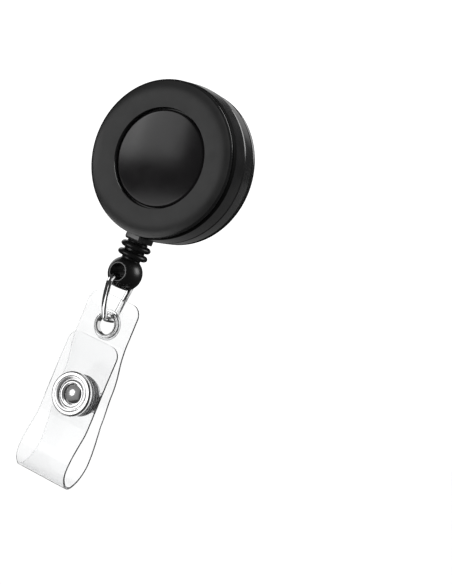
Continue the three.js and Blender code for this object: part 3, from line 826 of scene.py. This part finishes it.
def strap():
    """One bent sheet of vinyl from the eyelet end round the fold to the flap's end."""
    line = smooth_line([(y, z) for z, y in STRAP_ROUTE], 12)
    places, total = spaced(line)
    across = 24
    top, bottom = [], []
    for i, (d, point) in enumerate(places):
        before = places[max(i - 1, 0)][1]
        after = places[min(i + 1, len(places) - 1)][1]
        along = (after - before).normalized()
        normal = Vector((-along.y, along.x))
        half = half_width(min(d, total - d))
        for k in range(across + 1):
            x = half * (2 * k / across - 1)
            curl = edge_curl(x, point) if d < total / 2 else 0.0
            for side, rows in ((1, top), (-1, bottom)):
                p = point + normal * side * VINYL / 2
                rows.append((x, p.x + curl, p.y))
    verts = top + bottom
    size = len(top)
    rows, columns = len(places), across + 1
    faces = []
    for i in range(rows - 1):
        for a in range(i * columns, i * columns + across):
            quad = (a, a + 1, a + columns + 1, a + columns)
            faces += [quad, tuple(size + v for v in reversed(quad))]
    rim = [i * columns for i in range(rows)] + [(rows - 1) * columns + k for k in range(1, columns)]
    rim += [i * columns + across for i in range(rows - 2, -1, -1)] + list(range(across - 1, 0, -1))
    sheet_faces = len(faces)
    faces += [(a, b, size + b, size + a) for a, b in zip(rim, rim[1:] + rim[:1])]
    obj = piece("vinyl_strap", verts, faces, "vinyl", 50.0)
    obj.data.materials.append(MATERIALS["cut"])
    # the cut edge takes the grey: its frosting, and painted shade along the outline
    for face in obj.data.polygons[sheet_faces:]:
        face.material_index = 1
    holes = [cylinder(r, (0, y - 1, z), (0, y + 1, z), 64)
             for r, y, z in ((EYELET_HOLE, EYELET_Y, EYELET_Z), (POST_HOLE, BACK_Y, SNAP_Z),
                             (SOCKET_HOLE, FLAP_Y, SNAP_Z))]
    boolean(obj, holes)
    bevel(obj, 0.13, 3, 55.0)
    finish_piece(obj, "clear_vinyl", "strap_back", "strap_flap")
    # All of the back leg lies behind the first plane and all of the flap in front of the second.
    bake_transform(obj)


def eyelet():
    hole, barrel, flange = 2.0, 2.32, EYELET_HIGH.x
    seat = EYELET_Y - VINYL / 2 - 0.03
    front, back = seat - 0.45, EYELET_Y + 1.0
    outline = [(hole, back - 0.2), (hole, front + 0.35), (hole + 0.1, front + 0.08), (hole + 0.26, front),
               (hole + 0.4, front + 0.16), (hole + 0.46, front + 0.24), (hole + 0.54, front + 0.12),
               (flange - 0.08, front + 0.16), (flange, seat - 0.06), (flange - 0.1, seat), (barrel, seat),
               (barrel, back - 0.35), (barrel + 0.3, back - 0.2), (barrel + 0.22, back), (hole + 0.12, back)]
    obj = turned("rolled_eyelet", rounded(outline, 0.16, 5), "chrome", (0, EYELET_Z), closed=True)
    dress(obj, "strap", "chrome_trim", "eyelet")


def eyelet_washer():
    inner, outer, seat = 2.38, 3.15, EYELET_Y + VINYL / 2 + 0.03
    outline = [(inner, seat), (outer - 0.05, seat), (outer, seat + 0.2), (outer - 0.25, seat + 0.42),
               (inner, seat + 0.34)]
    obj = turned("eyelet_back_washer", rounded(outline, 0.1, 4), "chrome", (0, EYELET_Z), closed=True)
    dress(obj, "strap", "chrome_trim", "eyelet_washer")


# ---- Snap ----
def shade_the_grooves(obj):
    """Painted shade: the grooves round the two inner snap parts get the near-black steel, standing in for the
    shade in them.
    """

    def in_groove(place, face):
        return 0.12 < BASE_R - hypot(place.x, place.z) < 0.42 and abs(face.normal.y) < 0.97

    # painted shade in the snap's grooves
    paint(obj, "steel_painted_shade", at(0, 0, SNAP_Z), in_groove)


def snap_cap():
    """The ringed front: a broad rim, a channel, a thin inner ring and a low dome in the dished middle."""
    seat = FLAP_Y - VINYL / 2 - 0.02
    face = CAP_LOW.y
    ring = seat - 0.55  # front of the inner ring
    r = CAP_R
    dome = [(2.2 * t, ring - 0.08 + 0.62 * t * t) for t in (i / 14 for i in range(15))]
    channel = [(2.66, ring + 0.1), (3.1, ring + 0.52), (3.22, ring + 0.52), (3.64, ring + 0.1)]
    inner = [dome[-1], (2.3, ring + 0.08), (2.36, ring), (2.58, ring), channel[0]]
    rim = [channel[-1], (3.72, face + 0.04), (3.8, face), (4.36, face + 0.02), (r, face + 0.3),
           (r, face + 0.75), (r - 0.2, seat - 0.04), (r - 0.2, seat), (1.2, seat), (1.2, FLAP_Y + 0.2),
           (0, FLAP_Y + 0.2)]
    profile = dome + fillet(inner, [0, 0.06, 0.06, 0.06, 0], 4)[1:-1] + fillet(channel, [0, 0.1, 0.1, 0], 4)
    profile += fillet(rim, [0, 0.1, 0.1, 0.3, 0.2, 0.2, 0.05, 0, 0.05, 0.05, 0], 6)[1:]
    obj = turned("snap_ring_cap", profile, "cap", (0, SNAP_Z), 112, sharp=50.0)
    dress(obj, "flap", "chrome_trim", "snap_cap")


def snap_socket():
    seat = FLAP_Y + VINYL / 2 + 0.02
    inner, r = 1.82, BASE_R
    outline = [(inner, seat), (r - 0.1, seat), (r, seat + 0.2), (r - 0.4, seat + 0.5), (r, seat + 0.8),
               (r - 0.1, seat + 1.15), (3.4, seat + 1.3), (inner + 0.2, seat + 1.35), (inner, seat + 1.15)]
    # painted shade: the socket takes the darker copy of the chrome
    obj = turned("snap_socket_ring", rounded(outline, 0.14, 4), "snap", (0, SNAP_Z), closed=True)
    shade_the_grooves(obj)
    dress(obj, "flap", "chrome_trim", "snap_socket")


def snap_stud():
    seat = BACK_Y - VINYL / 2 - 0.02
    r = BASE_R
    tip = FLAP_Y + VINYL / 2 + 0.42
    outline = [(0, tip + 0.1), (0.9, tip), (1.5, tip + 0.3), (1.5, tip + 0.6), (1.35, tip + 0.9),
               (1.5, seat - 1.15), (r - 0.5, seat - 1.2), (r, seat - 0.95), (r - 0.4, seat - 0.6),
               (r, seat - 0.3), (r - 0.08, seat), (0, seat)]
    # painted shade: the stud takes the darker copy of the chrome
    obj = turned("snap_stud_disc", fillet(outline, 0.15, 4), "snap", (0, SNAP_Z))
    shade_the_grooves(obj)
    dress(obj, "strap", "chrome_trim", "snap_stud")


def snap_post():
    seat = BACK_Y + VINYL / 2 + 0.02
    r = box_mm("snap_post")[1].x
    outline = [(0, BACK_Y - 0.2), (0.95, BACK_Y - 0.2), (0.95, seat), (r - 0.1, seat), (r, seat + 0.2),
               (r - 0.3, seat + 0.5), (2.4, seat + 0.62), (1.6, seat + 0.36), (0.9, seat + 0.3),
               (0, seat + 0.38)]
    obj = turned("snap_rear_post", fillet(outline, 0.16, 4), "chrome", (0, SNAP_Z))
    dress(obj, "strap", "chrome_trim", "snap_post")


# ---- Back clip ----
def lug(side):
    """One rounded ear of the swivel plate, from its base to the arc over the pin."""
    radius, foot = 2.2, FACE - 0.5
    outline = [(PIN_Z - 3.6, foot), (PIN_Z - 3.3, FACE + 0.02), (PIN_Z - 2.75, FACE + 0.5)]
    outline += [(PIN_Z - radius * cos(a), PIN_Y + radius * sin(a))
                for a in (pi * i / 20 for i in range(21))]
    outline += [(PIN_Z + 2.75, FACE + 0.5), (PIN_Z + 3.3, FACE + 0.02), (PIN_Z + 3.6, foot)]
    inner, outer = 3.5, 5.9  # distances from the middle
    return loft("cutter", [[(side * x, y, z) for z, y in outline] for x in (inner, outer)], "plate")


def swivel_plate():
    bore, pin_hole = 1.5, 0.68
    corners = [(bore, PLATE_IN), (PLATE_R, PLATE_IN), (PLATE_R, FACE), (bore, FACE)]
    obj = turned("swivel_back_plate", rounded(corners, 0.12, 3), "plate", segments=144, closed=True)
    boolean(obj, [lug(-1), lug(1)], "UNION")
    boolean(obj, [cylinder(pin_hole, (-8, PIN_Y, PIN_Z), (8, PIN_Y, PIN_Z), 32)])
    bevel(obj, 0.18, 3, 35.0)
    dress(obj, "clip_base", "case_plastic", "swivel_plate")


ARM_TIP = (ARM_LOW.z + 0.55, 7.45)  # (z, y) of the outside of the arm where the jaw lip bends down
ARM_END = (ARM_HIGH.z, ARM_HIGH.y)
ARM_HALF = ARM_HIGH.x
ARM_STEPS = 110  # rows of points along the straight of the arm
SHEET = 0.7  # thickness of the arm's metal
EDGE_DEPTH = 0.75  # depth of the flanges at the jaw
OVALS = [(-0.1, 1.3), (1.7, 1.3), (3.9, 2.4), (6.0, 1.3), (7.9, 1.3)]  # (way up from the pin, half width)
OVAL_HALF_LENGTH = 0.62
OVAL_HEIGHT = 0.34


def arm_path():
    """Outside line of the arm from the thumb end to the jaw's lip, as (z, y)."""
    (z0, y0), (z1, y1) = ARM_END, ARM_TIP
    line = [Vector((z0 + (z1 - z0) * i / ARM_STEPS, y0 + (y1 - y0) * i / ARM_STEPS))
            for i in range(ARM_STEPS + 1)]
    lip = fillet([line[-1], (ARM_LOW.z, y1 - 0.08), (ARM_LOW.z, FACE + 0.35)], 0.75, 10)
    return line + lip[1:-1] + [Vector((ARM_LOW.z, 6.6)), Vector((ARM_LOW.z + 0.05, FACE + 0.32))]


def flange_depth(z):
    """How far the side flanges reach below the outside of the arm."""
    stops = [(ARM_TIP[0] + 1.7, EDGE_DEPTH), (ARM_TIP[0] + 2.1, 1.35), (PIN_Z - 3, 2.1), (PIN_Z - 1.4, 3.6),
             (PIN_Z + 1.4, 3.6), (PIN_Z + 3, 2.1), (ARM_END[0] - 1.2, 1.8), (ARM_END[0], 1.0)]
    if z <= stops[0][0]:
        return EDGE_DEPTH
    for (z0, d0), (z1, d1) in zip(stops, stops[1:]):
        if z <= z1:
            t = (z - z0) / (z1 - z0)
            return d0 + (d1 - d0) * t * t * (3 - 2 * t)
    return stops[-1][1]


def oval_height(x, z):
    """Raised ovals pressed into the arm across its width."""
    height = 0.0
    for up, width in OVALS:
        q = (x / width) ** 2 + ((z - PIN_Z - up + 0.6) / OVAL_HALF_LENGTH) ** 2
        if q < 1:
            height += OVAL_HEIGHT * sqrt(1 - q) ** 0.8
    return height


def clip_lever():
    """The pressed arm: a flat top with raised ovals, side flanges round the pin and the jaw's lip."""
    path = arm_path()
    bend, across, down, round_steps = 0.75, 26, 6, 6
    verts = []
    columns = 0
    for i, p in enumerate(path):
        before, after = path[max(i - 1, 0)], path[min(i + 1, len(path) - 1)]
        along = (after - before).normalized()
        out = Vector((along.y, -along.x))
        straight = i <= ARM_STEPS
        depth = flange_depth(p.x) if straight else EDGE_DEPTH
        ring = []
        for layer in (0, 1):
            thick = SHEET * layer
            half = ARM_HALF - thick
            radius = max(bend - thick, 0.12)
            top = -(thick + radius)
            drop = depth - thick - radius
            section = [(-half, min(top, top - drop * (1 - k / down))) for k in range(down)]
            section += [(-half + radius - radius * cos(a), -thick - radius + radius * sin(a))
                        for a in (pi / 2 * k / (round_steps - 1) for k in range(round_steps))]
            flat = half - radius
            section += [(-flat + 2 * flat * k / across, -thick) for k in range(1, across)]
            section += [(-x, y) for x, y in reversed(section[:down + round_steps])]
            ring.append(section)
        columns = len(ring[0])
        for section in ring:
            for x, y in section:
                lift = oval_height(x, p.x) if straight and y > -SHEET - 0.01 else 0.0
                q = p + out * (y + lift)
                verts.append((x, q.y, q.x))
    faces = []
    stride = 2 * columns
    for i in range(len(path) - 1):
        a, b = i * stride, (i + 1) * stride
        for k in range(columns - 1):
            faces.append((a + k, a + k + 1, b + k + 1, b + k))
            faces.append((a + columns + k, b + columns + k, b + columns + k + 1, a + columns + k + 1))
        for k in (0, columns - 1):
            faces.append((a + k, b + k, b + columns + k, a + columns + k))
    for i in (0, len(path) - 1):
        a = i * stride
        faces += [(a + k, a + k + 1, a + columns + k + 1, a + columns + k) for k in range(columns - 1)]
    obj = piece("clip_arm_plate", verts, faces, "nickel", 45.0)
    boolean(obj, [cylinder(0.66, (-5, PIN_Y, PIN_Z), (5, PIN_Y, PIN_Z), 32)])
    bevel(obj, 0.06, 2, 50.0)
    dress(obj, "clip_arm", "clip_nickel", "clip_lever")


def clip_pin():
    half, r = PIN_HIGH.x, 0.6
    corners = [(0, -half), (r, -half), (r, half), (0, half)]
    obj = turned("clip_hinge_pin", fillet(corners, [0, 0.2, 0.2, 0], 4), "nickel", segments=48, axis="Z")
    obj.data.transform(Matrix.Translation(at(0, PIN_Y, PIN_Z)) @ Matrix.Rotation(pi / 2, 4, "Y")
                       @ Matrix.Translation(-CENTRE))
    dress(obj, "clip_base", "clip_nickel", "clip_pin")


def clip_spring():
    """A torsion coil on the pin: one leg on the plate, one under the thumb end of the arm."""
    coil, turns, wire, half = 1.05, 4.5, 0.2, 1.5
    points = [(-half, PIN_Y - coil - 0.3, PIN_Z + 4.2), (-half, PIN_Y - coil - 0.1, PIN_Z + 1.6)]
    steps = int(turns * 24)
    for i in range(steps + 1):
        a = -pi / 2 - 2 * pi * turns * i / steps
        points.append((-half + 2 * half * i / steps, PIN_Y + coil * sin(a), PIN_Z + coil * cos(a)))
    points += [(half, PIN_Y + coil + 0.1, PIN_Z + 1.6), (half, PIN_Y + coil + 0.35, PIN_Z + 4.2)]
    obj = tube("clip_torsion_spring", points, wire, "clip_wire", 10)
    finish_piece(obj, "spring_steel", "clip_spring")
    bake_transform(obj)


def clip_rivet():
    shank, clench, head_r = 1.2, 1.35, 1.9
    head, end = FACE + 0.05, SPOOL_HIGH.y + 0.3
    outline = [(0, end), (clench, end), (clench, end + 0.2), (shank, end + 0.4), (shank, head),
               (head_r, head), (head_r - 0.05, head + 0.25), (1.3, head + 0.55), (0, head + 0.65)]
    obj = turned("clip_pivot_rivet", fillet(outline, 0.1, 3), "nickel", segments=64)
    dress(obj, "clip_base", "clip_nickel", "clip_rivet")


def rivet_washer():
    low, high = box_mm("rivet_washer")
    bore = 1.42
    outline = [(bore, low.y), (high.x, low.y), (high.x, high.y), (bore, high.y)]
    obj = turned("rivet_clench_washer", rounded(outline, 0.08, 3), "nickel", segments=64, closed=True)
    dress(obj, "clip_base", "clip_nickel", "rivet_washer")


# ---- Studio ----
ROOM = 1.2  # brightness of the white all round
ROOM_IN_REFLECTIONS = 0.05
SOFTBOXES = {  # for each group of pieces: name, azimuth, elevation, width, height, radiance
    "case": [("key", -72, 17, 68, 24, 1.9), ("side", 64, 40, 56, 46, 13.0),
             ("table", -80, -27, 60, 26, 2.8), ("back_right", 160, 16, 40, 18, 0.6),
             ("back_low", 150, -32, 70, 44, 0.22)],
    "label": [("label_key", -81, 28.5, 28, 24, 3.3), ("label_edge", -59, 28.5, 16, 24, 2.4),
              ("label_table", -74, -10, 56, 34, 2.0)],
    "rear": [("rear_face", 152, -8, 18, 14, 2.0), ("rear_low", 150, -32, 60, 40, 0.16),
             ("rear_side", -150, 30, 34, 40, 2.0)],
    "bead": [("bead_right", 88, 10, 28, 30, 10.0), ("bead_left", -57, 2, 36, 30, 4.5),
             ("bead_back", -165, 30, 40, 40, 1.5)],
    "wire": [("wire_low", -48, -56, 76, 26, 1.8), ("wire_left", -83, 37, 56, 30, 1.8),
             ("wire_right", 105, -5, 130, 40, 0.85)],
    "metal": [("metal_key", -57, 14, 32, 30, 1.7), ("metal_right", 62, 5, 30, 60, 0.7),
              ("metal_glow", -57, 14, 84, 76, 0.2), ("metal_top", 20, 72, 60, 30, 0.4),
              ("metal_low", -110, -50, 40, 24, 0.25), ("metal_back", 130, 0, 50, 50, 0.8),
              ("metal_rear", -165, -20, 30, 30, 1.5)],
    "clip": [("clip_key", 140, -5, 60, 60, 1.3), ("clip_side", -150, 20, 50, 60, 0.8),
             ("clip_front", 60, 30, 50, 50, 1.0)],
    "vinyl": [("vinyl_key", -60, 24, 40, 24, 0.8), ("vinyl_right", 100, 0, 60, 110, 0.3)],
}
ROUND_LIGHTS = {"metal_key"}  # the snap's dome mirrors the whole of this one
LIGHT_DISTANCE = 0.7  # metres
LIGHT_CENTRE = (0, 0, -15)  # the point that the lights face


def softbox(group, name, azimuth, elevation, width, height, radiance):
    """A soft light on one group of pieces. Its direction, in degrees, is counted from the camera's own axes,
    because the reel hangs tilted in front of a level studio. width and height are the angles that it spans,
    and radiance is how bright its face is beside white paper."""
    axes = bpy.context.scene.camera.matrix_world.to_3x3().normalized()
    a, e = radians(azimuth), radians(elevation)
    towards = axes @ Vector((sin(a) * cos(e), sin(e), cos(a) * cos(e)))
    across = (axes.col[1].cross(towards)).normalized()
    turn = Matrix((across, towards.cross(across), towards)).transposed().to_4x4()
    data = bpy.data.lights.new(name, "AREA")
    data.shape = "ELLIPSE" if name in ROUND_LIGHTS else "RECTANGLE"
    data.size = 2 * LIGHT_DISTANCE * tan(radians(width / 2))
    data.size_y = 2 * LIGHT_DISTANCE * tan(radians(height / 2))
    data.energy = radiance * pi * data.size * data.size_y
    light = add_object(name, data)
    light.matrix_world = Matrix.Translation(at(*LIGHT_CENTRE) + towards * LIGHT_DISTANCE) @ turn
    light.visible_camera = False
    light.light_linking.receiver_collection = group


def studio():
    """White all round for the camera and for soft light, but in reflections only softboxes and a dim room."""
    world = bpy.data.worlds.new("studio")
    world.use_nodes = True
    tree = world.node_tree
    background = tree.nodes["Background"]
    background.inputs["Color"].default_value = (1, 1, 1, 1)
    path = tree.nodes.new("ShaderNodeLightPath")
    level = tree.nodes.new("ShaderNodeMapRange")
    level.inputs["To Min"].default_value = ROOM
    level.inputs["To Max"].default_value = ROOM_IN_REFLECTIONS
    through = tree.nodes.new("ShaderNodeMath")  # a reflection, and not the way through the clear vinyl
    through.operation = "SUBTRACT"
    through.use_clamp = True
    tree.links.new(path.outputs["Is Glossy Ray"], through.inputs[0])
    tree.links.new(path.outputs["Is Transmission Ray"], through.inputs[1])
    tree.links.new(through.outputs["Value"], level.inputs["Value"])
    tree.links.new(level.outputs["Result"], background.inputs["Strength"])
    bpy.context.scene.world = world
    bpy.context.scene.view_settings.view_transform = "Standard"
    for group, lights in SOFTBOXES.items():
        for light in lights:
            softbox(LIT[group], *light)


def floor():
    size, drop = 6.0, 0.72  # metres
    mesh = bpy.data.meshes.new("floor")
    corners = [(-size, -size), (size, -size), (size, size), (-size, size)]
    mesh.from_pydata([(x, y, -drop) for x, y in corners], [], [(0, 1, 2, 3)])
    obj = add_object("floor", mesh)
    m = Nodes("pale_floor")
    m.tint(m.ramp(m.noise(400.0, 2.0)), (0.9, 0.9, 0.9), (0.93, 0.93, 0.93))
    m.put(Roughness=0.9)
    mesh.materials.append(m.material)
    obj.visible_glossy = False


add_camera()
studio()
floor()
for build in (front_cover, rear_shell, label_disc, cord_guide, spool, power_spring, cord_winding,
              pull_cord, cord_knot, strap_bead, wire_ring, strap, eyelet, eyelet_washer, snap_cap,
              snap_socket, snap_stud, snap_post, swivel_plate, clip_lever, clip_pin, clip_spring,
              clip_rivet, rivet_washer):
    build()
